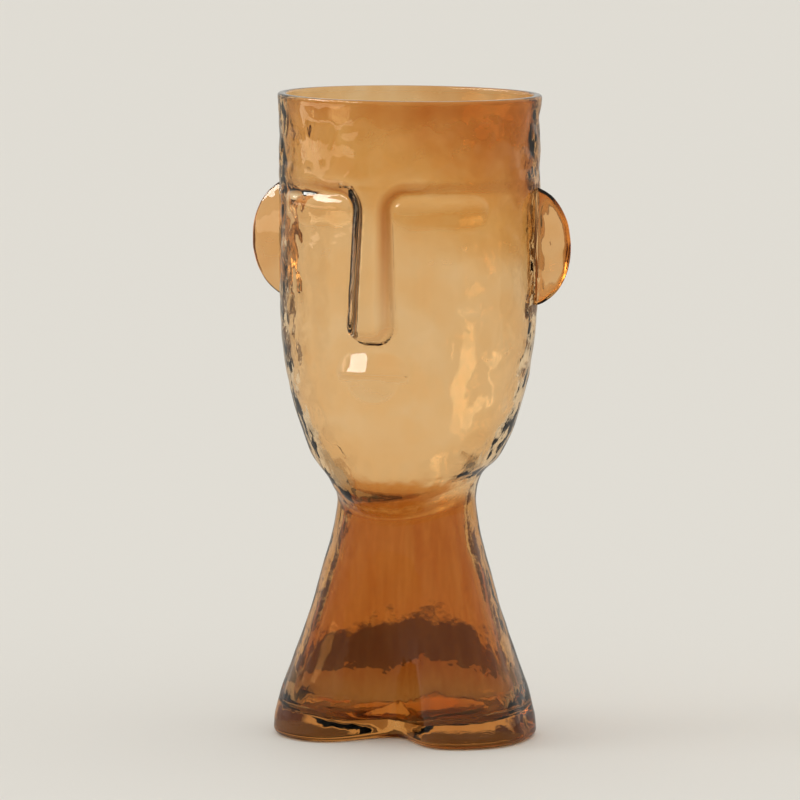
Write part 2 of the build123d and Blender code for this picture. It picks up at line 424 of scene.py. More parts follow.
def spread(count, low, high, *focuses):
    """Positions from low to high, closer together round each (centre, reach, strength)."""
    fine = np.linspace(low, high, SPREAD_SAMPLES)
    density = np.ones_like(fine)
    for centre, reach, strength in focuses:
        density += strength * np.exp(-(((fine - centre) / reach) ** 2))
    passed = np.concatenate(([0], np.cumsum((density[1:] + density[:-1]) / 2)))
    return np.interp(np.linspace(0, passed[-1], count + 1), passed, fine)


def column_turns():
    """Each column's turn from +X, closest together over the nose and then the face."""
    focuses = ((pi / 2, *NOSE_COLUMN_FOCUS), (pi / 2, *FACE_COLUMN_FOCUS))
    return spread(COLUMNS, 0, 2 * pi, *focuses)[:-1]


def stem_plan(z, turn, sizes, wall, inset=0.0):
    """The stem's outline at each height and turn, a wall's thickness in."""
    share = (z - sizes.foot_floor) / (sizes.chin_height - sizes.foot_floor)
    flare = smooth_curve(STEM_SHARES, 1, share)
    half_width = between(sizes.neck_radius, sizes.foot_half_width, flare) - wall - inset
    depth = between(sizes.neck_radius, sizes.foot_depth, flare) - wall - inset
    growth = np.clip(1 - np.clip(z, 0, None) / sizes.groove_top, 0, 1) ** GROOVE_POWER
    power = 2 / between(ROUND_POWER, FOOT_POWER, flare)
    x = half_width * np.sign(np.cos(turn)) * np.abs(np.cos(turn)) ** power
    out = np.abs(np.sin(turn)) ** power
    front_reach = sizes.front_groove_reach + wall / 2
    back_reach = sizes.back_groove_reach + wall / 2
    front_groove = sizes.front_groove_depth * growth * np.exp(-((x / front_reach) ** 2))
    back_groove = sizes.back_groove_depth * growth * np.exp(-((x / back_reach) ** 2))
    return x, np.where(np.sin(turn) > 0, front_groove - depth * out, depth * out - back_groove)


def head_sizes(z, sizes):
    """Half width, front depth of the face and back depth of the head at each height."""
    top = sizes.brow_height - sizes.brow_drop
    share = (z - sizes.chin_height) / (top - sizes.chin_height)
    wide, ahead, behind = (smooth_curve(HEAD_SHARES, column, share) for column in (1, 2, 3))
    half_width = between(sizes.neck_radius, sizes.head_half_width, wide)
    front = between(sizes.chin_depth, sizes.face_depth, ahead)
    back = between(sizes.neck_radius, sizes.head_back_depth, behind)
    return half_width, front, back


def gap_to_ridge(x, z, sizes, features):
    """How far each place on the face is from the T that the forehead and nose form."""
    share = (z - features.nose_tip_height) / (sizes.brow_height - features.nose_tip_height)
    half_width = between(features.nose_tip_half_width, features.nose_root_half_width, share)
    corner = features.nose_corner
    across = np.abs(x) - half_width + corner
    below = features.nose_tip_height - z + corner
    outside = np.hypot(np.clip(across, 0, None), np.clip(below, 0, None))
    nose = outside + np.minimum(np.maximum(across, below), 0) - corner
    return round_union(nose, sizes.brow_height - z, features.nose_brow_radius)


def relief_share(gap):
    """Where a gap to the ridge lies on the relief map, from 0 to 1."""
    return np.clip(0.5 + gap / RELIEF_SPAN, 0, 1)


def ridge_share(gap, rounding, fall, power, foot):
    """1 on a ridge and 0 past its fall, rounded over at the top and steep at the foot."""
    across = np.clip((gap + rounding) / (rounding + fall), 0, 1)
    return (1 - across**power) * (1 - smoothstep(foot, RIDGE_END_SHARE, across))


def swell(x, z, depth, features):
    """How far the eyelids and lips stand out from the face."""
    azimuth = np.arctan2(np.abs(x), depth)
    reach = np.hypot(x, depth)
    around = azimuth * reach
    past_end = np.clip(np.abs(azimuth - LID_ANGLE) - LID_HALF_ANGLE, 0, None) * reach / LID_END
    up = (z - features.lid_height) / features.lid_half_thickness
    lids = features.lid_proud * np.clip(1 - up**2 - past_end**2, 0, 1)
    rise = (z - features.upper_lip_height) / features.upper_lip_rise
    taper = np.clip(1 - (around / features.upper_lip_half_width) ** LIP_END_POWER, 0, 1)
    taper = taper ** LIP_TAPER_POWER
    upper = (features.upper_lip_proud * taper * np.clip(taper - rise, 0, 1)
             * smoothstep(*LIP_EDGE_SHARES, rise))
    up = (z - features.lower_lip_height) / features.lower_lip_half_thickness
    lower = features.lower_lip_proud * np.clip(
        1 - up**2 - (around / features.lower_lip_half_width) ** 2, 0, 1) ** LOWER_LIP_POWER
    return lids + np.maximum(upper, lower)


def head_plan(z, turn, sizes, features, wall, inside):
    """The head's outline at each height and turn: brow and nose, and outside lids and lips."""
    half_width, front, back = head_sizes(z, sizes)
    x = (half_width - wall) * np.cos(turn)
    ahead = np.clip(np.sin(turn), 0, None)
    face = (front - wall) * ahead
    forehead = (sizes.forehead_depth - wall) * ahead
    gap = gap_to_ridge(x, z, sizes, features)
    growth = (sizes.brow_height - z) / (sizes.brow_height - features.nose_tip_height)
    growth = np.clip(growth, 0, NOSE_OVERRUN_SHARE)
    growth = growth * (features.nose_tip_depth - sizes.forehead_depth)
    near, far = (features.nose_root_half_width + reach for reach in BESIDE_NOSE)
    beside = smoothstep(near, far, np.abs(x))
    foot = between(features.ridge_foot, features.brow_foot, beside)
    if inside:
        shift = INNER_GAP_SHARE * features.nose_wall
        drop = shift * smoothstep(sizes.brow_height, sizes.brow_height - INNER_DROP_REACH, z)
        gap = gap_to_ridge(x, z + drop, sizes, features) + shift
        fall = between(features.inner_flank, 2 * sizes.brow_drop, beside)
        rounding = features.inner_round
        power = between(features.inner_power, features.brow_power, beside)
    else:
        fall = between(features.nose_flank, features.brow_fall, beside)
        rounding = between(features.ridge_round, features.brow_round, beside)
        power = between(features.ridge_power, features.brow_power, beside)
    depth = between(face, forehead + growth, ridge_share(gap, rounding, fall, power, foot))
    if not inside:
        out = swell(x, z, np.maximum(depth, LEAST_DEPTH), features)
        out = out * smoothstep(0, SWELL_AHEAD_SHARE, ahead)
        out = out * smoothstep(0, SWELL_FADE, gap)
        reach = np.hypot(x, depth) + TINY
        x, depth = x + out * x / reach, depth + out * depth / reach
    return x, np.where(np.sin(turn) > 0, -depth, (back - wall) * -np.sin(turn))


def sag_chin(rows, turn, sizes):
    """Lowers the crease under the chin at the front and lifts it at the sides."""
    ahead = np.sin(turn)
    shift = np.where(ahead > 0, 1 - 2 * np.clip(ahead, 0, 1) ** CHIN_SAG_POWER, 1 + ahead)
    sagged = []
    for x, y, z in rows:
        near = np.exp(-(((z - sizes.chin_height) / CHIN_SAG_REACH) ** 2))
        sagged.append((x, y, z + shift * CHIN_SAG * near))
    return sagged


def stack_rows(rows):
    """An array of rows, columns and coordinates from (x, y, height) rows."""
    return np.stack([np.stack((x, y, np.full(COLUMNS, z)), axis=1) for x, y, z in rows])


def outer_grid(sizes, features):
    """Rows of points up the outside of the glass."""
    turn = column_turns()
    bands = OUTER_BANDS

    def stem_row(z, inset=0.0):
        return stem_plan(np.full(COLUMNS, z), turn, sizes, 0.0, inset)

    def head_row(z):
        return head_plan(np.full(COLUMNS, z), turn, sizes, features, 0.0, False)

    rows = []
    for step in range(bands["edge"]):
        angle = pi / 2 * step / bands["edge"]
        z = sizes.foot_edge * (1 - cos(angle))
        rows.append((*stem_row(z, sizes.foot_edge * (1 - sin(angle))), z))
    chin_low = sizes.chin_height - CREASE_BELOW
    chin_high = sizes.chin_height + CREASE_ABOVE
    for z in spread(bands["stem"], sizes.foot_edge, chin_low)[:-1]:
        rows.append((*stem_row(z), z))
    for step in range(bands["chin"]):
        share = step / bands["chin"]
        z = between(chin_low, chin_high, share)
        low_x, low_y = stem_row(z)
        high_x, high_y = head_row(max(z, sizes.chin_height))
        eased = smoothstep(0, 1, share)
        rows.append((between(low_x, high_x, eased), between(low_y, high_y, eased), z))
    brow_low = sizes.brow_height - sizes.brow_drop
    brow_top = sizes.brow_height + BROW_BAND_ABOVE
    focuses = ((features.nose_tip_height, *NOSE_FOCUS),
               (features.upper_lip_height, *LIP_FOCUS), (brow_low, *BROW_FOCUS))
    heights = [*spread(bands["face"], chin_high, brow_low - BROW_BAND_BELOW, *focuses)[:-1],
               *spread(bands["brow"], brow_low - BROW_BAND_BELOW, brow_top)[:-1],
               *spread(bands["forehead"], brow_top, sizes.height)]
    rows += [(*head_row(z), z) for z in heights]
    return stack_rows(sag_chin(rows, turn, sizes))


def inner_grid(sizes, features):
    """Rows of points from the rim down the inside of the glass and over its floor."""
    turn = column_turns()
    bands = INNER_BANDS
    neck_top = sizes.chin_height + CREASE_ABOVE + CREASE_LIFT
    neck_low = sizes.chin_height - CREASE_BELOW + CREASE_LIFT
    corner_top = sizes.foot_floor + CORNER_RISE
    brow_top = sizes.brow_height + INNER_BROW_BAND
    brow_low = sizes.brow_height - INNER_BROW_BAND
    nose_focus = (features.nose_tip_height, *INNER_NOSE_FOCUS)
    heights = [*spread(bands["forehead"], sizes.height, brow_top)[:-1],
               *spread(bands["brow"], brow_top, brow_low)[:-1],
               *spread(bands["face"], brow_low, neck_top, nose_focus)[:-1],
               *spread(bands["neck"], neck_top, neck_low)[:-1],
               *spread(bands["stem"], neck_low, corner_top)[:-1]]
    neck_wall = sizes.neck_radius - sizes.neck_bore_radius
    rows = []
    for z in heights:
        level = np.full(COLUMNS, z)
        low_down = smoothstep(sizes.chin_height + CHIN_WALL_REACH, sizes.chin_height, z)
        wall = between(sizes.head_wall, sizes.chin_wall, low_down)
        up_stem = (z - sizes.foot_floor) / (sizes.chin_height - sizes.foot_floor)
        stem_wall = between(sizes.foot_wall, neck_wall, np.clip(up_stem, 0, 1))
        low_x, low_y = stem_plan(level, turn, sizes, stem_wall)
        lifted = np.maximum(level - CREASE_LIFT * low_down, sizes.chin_height)
        high_x, high_y = head_plan(lifted, turn, sizes, features, wall, True)
        share = smoothstep(neck_low, neck_top, z)
        rows.append((between(low_x, high_x, share), between(low_y, high_y, share), z))
    middle_y = sizes.foot_wall / 2
    x, y = stem_plan(np.full(COLUMNS, corner_top), turn, sizes, sizes.foot_wall)
    for step in range(bands["corner"] + bands["floor"] + 1):
        angle = pi / 2 * min(step / bands["corner"], 1)
        z = corner_top - (corner_top - sizes.foot_floor) * sin(angle)
        share = 1 - CORNER_SHARE * (1 - cos(angle))
        share *= 1 - max(step - bands["corner"], 0) / (bands["floor"] + 1)
        z += sizes.floor_rise * (1 - min(share / (1 - CORNER_SHARE), 1) ** 2)
        rows.append((x * share, middle_y + (y - middle_y) * share, z))
    return stack_rows(sag_chin(rows, turn, sizes))


def unselected_mesh(piece):
    """The mesh of the piece in edit mode, with nothing selected."""
    mesh = bmesh.from_edit_mesh(piece.data)
    for part in (*mesh.faces, *mesh.edges, *mesh.verts):
        part.select = False
    return mesh


def select_edges(piece, wanted):
    """Selects, in edit mode, the edges whose two end points pass the test."""
    for edge in unselected_mesh(piece).edges:
        if wanted(*(vertex.co for vertex in edge.verts)):
            edge.select_set(True)
    bmesh.update_edit_mesh(piece.data)


def select_faces(piece, wanted):
    """Selects, in edit mode, the faces whose middle passes the test."""
    for face in unselected_mesh(piece).faces:
        if wanted(face.calc_center_median()):
            face.select_set(True)
    bmesh.update_edit_mesh(piece.data)


def upright(first, second):
    """Whether an edge runs along the axis."""
    return (abs(first.z - second.z) > UPRIGHT_SLACK
            and (first.xy - second.xy).length < UPRIGHT_SLACK)


def follows_ring(first, second):
    """Whether an edge of the rim runs round it and not across it."""
    across = abs(first.xy.length - second.xy.length)
    return across < (first.xy - second.xy).length / 2


def dent(piece, group, size, depth, drawn_out=1):
    """Presses cloudy dents into the glass, drawn out along the axis by a factor."""
    texture = bpy.data.textures.new(f"{piece.name}_{group}", type="CLOUDS")
    texture.noise_scale = size
    texture.noise_depth = 1
    bpy.ops.object.empty_add(location=(0, 0, 0))
    frame_of_dents = bpy.context.object
    frame_of_dents.scale = (1, 1, drawn_out)
    deselect_all()
    piece.select_set(True)
    bpy.context.view_layer.objects.active = piece
    dents = piece.modifiers.new(group, "DISPLACE")
    dents.texture = texture
    dents.texture_coords = "OBJECT"
    dents.texture_coords_object = frame_of_dents
    dents.mid_level = 1.0
    dents.strength = depth
    dents.vertex_group = group
    bpy.context.view_layer.update()
    bpy.ops.object.modifier_apply(modifier=dents.name)
    bpy.data.objects.remove(frame_of_dents)
    bpy.data.textures.remove(texture)


def finish_piece(piece, nodes):
    """A finished piece rides on the vase, stands for its solids and takes the glass."""
    piece.data.materials.clear()
    piece.data.materials.append(bpy.data.materials[GLASS_NAME])
    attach(piece, "root")
    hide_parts(*nodes)


def opaque(colour):
    """A colour as a shader's socket takes it."""
    return (*colour, 1)


def new_material(name):
    """A material made of shader nodes."""
    material = bpy.data.materials.new(name)
    material.use_nodes = True
    return material


def fill(tree, node, inputs):
    """Joins each input of a node to a socket, or gives it its value."""
    for name, value in inputs.items():
        if isinstance(value, bpy.types.NodeSocket):
            tree.links.new(value, node.inputs[name])
        else:
            node.inputs[name].default_value = value


def add_node(tree, kind, inputs=None, **settings):
    """A new node with its settings and its inputs."""
    node = tree.nodes.new(kind)
    for name, value in settings.items():
        setattr(node, name, value)
    fill(tree, node, inputs or {})
    return node


def calculate(tree, operation, *values, use_clamp=False):
    """The result of a sum on two or three values."""
    return add_node(tree, "ShaderNodeMath", dict(enumerate(values)), operation=operation,
                    use_clamp=use_clamp).outputs[0]


def rise(tree, value, low, high, bottom=0.0, top=1.0, curve="LINEAR"):
    """From bottom to top as the value goes from low to high."""
    inputs = {"Value": value, "From Min": low, "From Max": high, "To Min": bottom,
              "To Max": top}
    return add_node(tree, "ShaderNodeMapRange", inputs,
                    interpolation_type=curve).outputs["Result"]


def mix_colours(tree, share, first, second, blend_type="MIX"):
    """The first colour with a share of the second."""
    return add_node(tree, "ShaderNodeMix", {"Factor": share, "A": first, "B": second},
                    data_type="RGBA", blend_type=blend_type).outputs["Result"]


def mix_shaders(tree, share, first, second):
    """The first shader with a share of the second."""
    return add_node(tree, "ShaderNodeMixShader",
                    {"Fac": share, 1: first, 2: second}).outputs["Shader"]


def reflected(tree, rays):
    """1 for rays that the glass reflects and 0 for those that it lets through."""
    return calculate(tree, "SUBTRACT", rays["Is Glossy Ray"], rays["Is Transmission Ray"],
                     use_clamp=True)


def fade_to_clear(tree, colour, share):
    """A dull colour where the share is 1, and nothing where it is 0."""
    tree.nodes.remove(tree.nodes["Principled BSDF"])
    clear = add_node(tree, "ShaderNodeBsdfTransparent").outputs["BSDF"]
    dull = add_node(tree, "ShaderNodeBsdfDiffuse", {"Color": opaque(colour)}).outputs["BSDF"]
    fill(tree, tree.nodes["Material Output"],
         {"Surface": mix_shaders(tree, share, clear, dull)})


class MATERIAL_OT_face_vase_glass(Operator):
    """Mix the amber glass, paler over the face and deeper towards rim and foot"""

    bl_idname = "material.face_vase_glass"
    bl_label = "Amber Glass"

    def execute(self, context):
        glass = context.scene.face_vase_glass
        sizes = context.scene.face_vase_sizes
        tree = new_material(GLASS_NAME).node_tree
        place = add_node(tree, "ShaderNodeTexCoord").outputs["Object"]
        parts = add_node(tree, "ShaderNodeSeparateXYZ", {"Vector": place}).outputs
        deepened = add_node(tree, "ShaderNodeGamma", {
            "Color": self.tint_by_place(tree, parts, glass, sizes),
            "Gamma": self.mottling(tree, place, parts, sizes),
        }).outputs["Color"]
        # Painted shade: the tint is multiplied darker along the fall of nose and brow, for the
        # dark line that the steep relief shows in the glass
        shaded = mix_colours(tree, self.flank(tree, glass), deepened,
                             opaque(glass.painted_flank_shade), "MULTIPLY")
        ripples = add_node(tree, "ShaderNodeTexNoise", {
            "Scale": RIPPLE_SCALE, "Detail": 1.5, "Vector": place}).outputs["Fac"]
        bump = add_node(tree, "ShaderNodeBump", {
            "Strength": 0.25, "Distance": 0.4 * MM, "Height": ripples}).outputs["Normal"]
        fill(tree, tree.nodes["Principled BSDF"], {
            "Base Color": shaded,
            "Transmission Weight": 1.0,
            "IOR": 1.5,
            "Roughness": 0.015,
            "Specular Tint": (0.55, 0.5, 0.45, 1),
            "Normal": bump,
        })
        absorb = add_node(tree, "ShaderNodeVolumeAbsorption", {
            "Color": opaque(glass.absorption), "Density": glass.density})
        fill(tree, tree.nodes["Material Output"], {"Volume": absorb.outputs["Volume"]})
        return {"FINISHED"}

    @staticmethod
    def tint_by_place(tree, parts, glass, sizes):
        """Bands of tint from foot to rim, and the ears in a tint of their own."""
        lean = rise(tree, parts["Z"], sizes.brow_height - TINT_LEAN_RISE, sizes.brow_height,
                    0.0, TINT_LEAN)
        to_left = calculate(tree, "MAXIMUM", parts["X"], TINT_LEAN_LIMIT)
        leaning = calculate(tree, "MULTIPLY_ADD", to_left, lean, parts["Z"])
        level = calculate(tree, "MULTIPLY_ADD", parts["Y"], TINT_BACK_LEAN, leaning)
        top = TINT_TOP_SHARE * sizes.height
        ramp = add_node(tree, "ShaderNodeValToRGB", {"Fac": rise(tree, level, 0.0, top)})
        ramp.color_ramp.interpolation = "EASE"
        elements = ramp.color_ramp.elements
        for index, (stop, colour) in enumerate((
            (sizes.foot_floor, glass.foot_tint),
            (4 * sizes.foot_floor, glass.neck_tint),
            (sizes.chin_height - 3 * MM, glass.neck_tint),
            (sizes.chin_height + 4 * MM, glass.face_tint),
            (sizes.brow_height - 38 * MM, glass.face_tint),
            (sizes.brow_height + 2 * MM, glass.forehead_tint),
            (sizes.height + 15 * MM, glass.rim_tint),
        )):
            # A new ramp starts with two elements
            element = elements[index] if index < 2 else elements.new(stop / top)
            element.position = stop / top
            element.color = opaque(colour)
        side = calculate(tree, "ABSOLUTE", parts["X"])
        on_ear = rise(tree, side, sizes.head_half_width, sizes.head_half_width + EAR_TINT_FADE)
        return mix_colours(tree, on_ear, ramp.outputs["Color"], opaque(glass.ear_tint))

    @staticmethod
    def mottling(tree, place, parts, sizes):
        """How deep the tint is: clouds over the head, and streaks drawn down the stem."""
        cloud = add_node(tree, "ShaderNodeTexNoise", {
            "Scale": CLOUD_SCALE, "Detail": 3, "Vector": place})
        drawn_out = add_node(tree, "ShaderNodeMapping", {
            "Scale": (1, 1, STREAK_SQUASH), "Vector": place})
        streak = add_node(tree, "ShaderNodeTexNoise", {
            "Scale": STREAK_SCALE, "Detail": 3, "Vector": drawn_out.outputs["Vector"]})
        in_stem = rise(tree, parts["Z"], sizes.chin_height + STREAK_FADE,
                       sizes.chin_height - STREAK_FADE)
        pattern = add_node(tree, "ShaderNodeMix", {
            "Factor": in_stem, "A": cloud.outputs["Fac"], "B": streak.outputs["Fac"]})
        return rise(tree, pattern.outputs["Result"], *MOTTLING_RANGE, *MOTTLING_DEPTHS)

    @staticmethod
    def flank(tree, glass):
        """How much painted shade darkens the fall of the ridge, read from the relief map."""
        relief = add_node(tree, "ShaderNodeUVMap", uv_map=RELIEF_MAP).outputs["UV"]
        gap = add_node(tree, "ShaderNodeSeparateXYZ", {"Vector": relief}).outputs
        from_flank = calculate(tree, "SUBTRACT", gap["X"], relief_share(glass.flank_middle))
        reach = glass.flank_reach / RELIEF_SPAN
        in_flank = rise(tree, calculate(tree, "ABSOLUTE", from_flank), reach,
                        FLANK_CORE_SHARE * reach, curve="SMOOTHSTEP")
        return calculate(tree, "MULTIPLY", in_flank, gap["Y"])


class OBJECT_OT_face_vase_body(Operator):
    """Draw a tube of glass into a double wall and press it to the head, neck and foot"""

    bl_idname = "object.face_vase_body"
    bl_label = "Glass Body"

    def execute(self, context):
        sizes = context.scene.face_vase_sizes
        features = context.scene.face_vase_features
        tube_wall = 10 * MM
        rim = sizes.height - RIM_SLACK
        deselect_all()
        bpy.ops.mesh.primitive_cylinder_add(vertices=COLUMNS, radius=sizes.neck_radius,
                                            depth=sizes.height, end_fill_type="TRIFAN",
                                            location=(0, 0, sizes.height / 2))
        body = context.object
        body.name = "glass_body"
        apply_place()

        # The outside gets its rows, then the top is inset and drawn down as the inside
        set_mode("EDIT")
        for cuts in (OUTER_ROWS // 2 - 1, 1):
            select_edges(body, upright)
            bpy.ops.mesh.subdivide(number_cuts=cuts)
        select_faces(body, lambda centre: centre.z > rim)
        bpy.ops.mesh.inset(thickness=tube_wall)
        bpy.ops.mesh.extrude_region_move(
            TRANSFORM_OT_translate={"value": (0, 0, sizes.foot_floor - sizes.height)})
        inner_radius = sizes.neck_radius - tube_wall / 2
        select_edges(body, lambda a, b: upright(a, b) and a.xy.length < inner_radius)
        bpy.ops.mesh.subdivide(number_cuts=INNER_ROWS - 1)
        set_mode("OBJECT")

        self.press(body, sizes, features, inner_radius)

        set_mode("EDIT")
        select_edges(body, lambda a, b: min(a.z, b.z) > rim and follows_ring(a, b))
        bpy.ops.mesh.bevel(offset=sizes.rim_edge, segments=RIM_SEGMENTS)
        turn_faces_outwards()
        set_mode("OBJECT")
        self.hammer(body, sizes, features)
        bpy.ops.object.shade_smooth_by_angle(angle=SMOOTH_ANGLE)
        finish_piece(body, ("head", "neck_and_foot", "foot_floor"))
        return {"FINISHED"}

    @staticmethod
    def hammer(body, sizes, features):
        """Presses shallow dimples into the outside, and drawn ripples into the stem."""
        for name in ("dimples", "ripples"):
            body.vertex_groups.new(name=name)
        chin, brow = sizes.chin_height, sizes.brow_height
        top = sizes.height - PLAIN_RIM
        for vertex in body.data.vertices:
            x, y, z = vertex.co
            outward = vertex.normal.x * x + vertex.normal.y * y > 0
            if not outward or z > top or z < sizes.foot_edge:
                continue
            edge = min((top - z) / RIM_FADE, (z - sizes.foot_edge) / FOOT_FADE, 1)
            stem = smoothstep(chin + RIPPLES_ABOVE_CHIN, chin - RIPPLES_BELOW_CHIN, z)
            forehead = smoothstep(brow, brow + FOREHEAD_FADE, z)
            ahead = smoothstep(*AHEAD_SHARES, -y / (abs(x) + abs(y) + TINY))
            cheek = between(*CHEEK_SHARES, smoothstep(chin, chin + CHEEK_RISE, z))
            cheek *= 1 - AHEAD_LOSS_SHARE * ahead
            dimples = edge * (1 - stem) * max(forehead, cheek)
            dimples += edge * STEM_DIMPLE_SHARE * stem
            off_ear = max(beyond(y, EAR_LOW.y, EAR_HIGH.y), beyond(z, EAR_LOW.z, EAR_HIGH.z))
            dimples *= smoothstep(0, EAR_CLEARANCE, off_ear)
            body.vertex_groups["dimples"].add([vertex.index], float(dimples), "REPLACE")
            if stem > 0:
                body.vertex_groups["ripples"].add([vertex.index], float(edge * stem),
                                                  "REPLACE")
        dent(body, "dimples", features.dimple_size, features.dimple_depth)
        dent(body, "ripples", features.ripple_size, features.ripple_depth, RIPPLE_STRETCH)

    @staticmethod
    def press(body, sizes, features, inner_radius):
        """Moves every point of the tube to its place in the wall of the vase."""
        outer, inner = outer_grid(sizes, features), inner_grid(sizes, features)
        count = len(body.data.vertices)
        points = np.empty(count * 3)
        body.data.vertices.foreach_get("co", points)
        points = points.reshape(count, 3)
        radius = np.hypot(points[:, 0], points[:, 1])
        turn = np.arctan2(-points[:, 1], points[:, 0])
        column = np.rint(turn / (2 * pi / COLUMNS)).astype(int) % COLUMNS
        outer_row = np.rint(points[:, 2] / sizes.height * OUTER_ROWS).astype(int)
        drawn = sizes.height - sizes.foot_floor
        inner_row = np.rint((sizes.height - points[:, 2]) / drawn * INNER_ROWS).astype(int)
        middle = radius < AXIS_SLACK
        within = radius < inner_radius
        placed = np.where(within[:, None],
                          inner[np.clip(inner_row, 0, INNER_ROWS), column],
                          outer[np.clip(outer_row, 0, OUTER_ROWS), column])
        placed[middle, 0] = 0
        placed[middle, 1] = sizes.foot_wall / 2
        placed[middle, 2] = points[middle, 2]
        placed[middle & (points[:, 2] > sizes.foot_floor / 2), 2] += sizes.floor_rise
        body.data.vertices.foreach_set("co", placed.ravel())
        body.data.update()

        # The relief map holds each place's gap to the ridge and a weight, which say where the
        # glass is painted with shade along the fall of nose and brow
        x, y, z = placed.T
        gap = gap_to_ridge(x, z, sizes, features)
        gap = np.where(within, gap + INNER_GAP_SHARE * features.nose_wall, gap)
        gap = np.where((y < 0) & (z > sizes.chin_height), gap, RELIEF_SPAN)
        up = smoothstep(features.nose_tip_height, sizes.brow_height - FLANK_TOP, z)
        near, far = FLANK_BESIDE
        beside = smoothstep(features.nose_root_half_width + near, far, np.abs(x))
        weight = between(FLANK_LOW_SHARE, 1, up) * between(1, FLANK_BROW_SHARE, beside)
        corners = np.empty(len(body.data.loops), dtype=int)
        body.data.loops.foreach_get("vertex_index", corners)
        places = np.stack((relief_share(gap[corners]), weight[corners]), axis=1)
        body.data.uv_layers.new(name=RELIEF_MAP).data.foreach_set("uv", places.ravel())


class OBJECT_OT_face_vase_ears(Operator):
    """Model the two lobes of glass at the sides of the head"""

    bl_idname = "object.face_vase_ears"
    bl_label = "Ears"

    def execute(self, context):
        sizes = context.scene.face_vase_sizes
        features = context.scene.face_vase_features
        for name, side in (("left_ear", 1), ("right_ear", -1)):
            low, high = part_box(name)
            half_thickness, half_height = (high.y - low.y) / 2, (high.z - low.z) / 2
            deselect_all()
            bpy.ops.mesh.primitive_uv_sphere_add(
                segments=EAR_SEGMENTS, ring_count=EAR_RINGS, radius=1,
                location=(side * features.ear_centre_x, (low.y + high.y) / 2,
                          (low.z + high.z) / 2))
            ear = context.object
            ear.name = f"{name}_lobe"
            ear.scale = (features.ear_half_width, half_thickness, half_height)
            apply_place()
            set_mode("EDIT")
            bpy.ops.mesh.select_all(action="SELECT")
            seam = side * (sizes.head_half_width + features.ear_seam)
            bpy.ops.mesh.bisect(plane_co=(seam, 0, 0), plane_no=(-side, 0, 0), use_fill=True,
                                clear_outer=True)
            bpy.ops.mesh.poke()
            set_mode("OBJECT")
            self.lay_against_head(ear, side, seam, sizes, features)
            set_mode("EDIT")
            turn_faces_outwards()
            set_mode("OBJECT")
            group = ear.vertex_groups.new(name="dimples")
            for vertex in ear.data.vertices:
                out = (side * vertex.co.x - sizes.head_half_width) / EAR_FADE
                group.add([vertex.index], float(np.clip(out, 0, 1)), "REPLACE")
            dent(ear, "dimples", features.ear_dimple_size, features.ear_dimple_depth)
            bpy.ops.object.shade_smooth_by_angle(angle=EAR_SMOOTH_ANGLE)
            finish_piece(ear, (name,))
        return {"FINISHED"}

    @staticmethod
    def lay_against_head(ear, side, seam, sizes, features):
        """Moves the ear's cut face to the head's outline."""
        for vertex in ear.data.vertices:
            if abs(vertex.co.x - seam) < SEAM_SLACK:
                half_width, front, back = head_sizes(vertex.co.z, sizes)
                depth = back if vertex.co.y > 0 else front
                outline = half_width * (1 - (vertex.co.y / depth) ** 2) ** 0.5
                vertex.co.x = side * (outline + features.ear_seam)


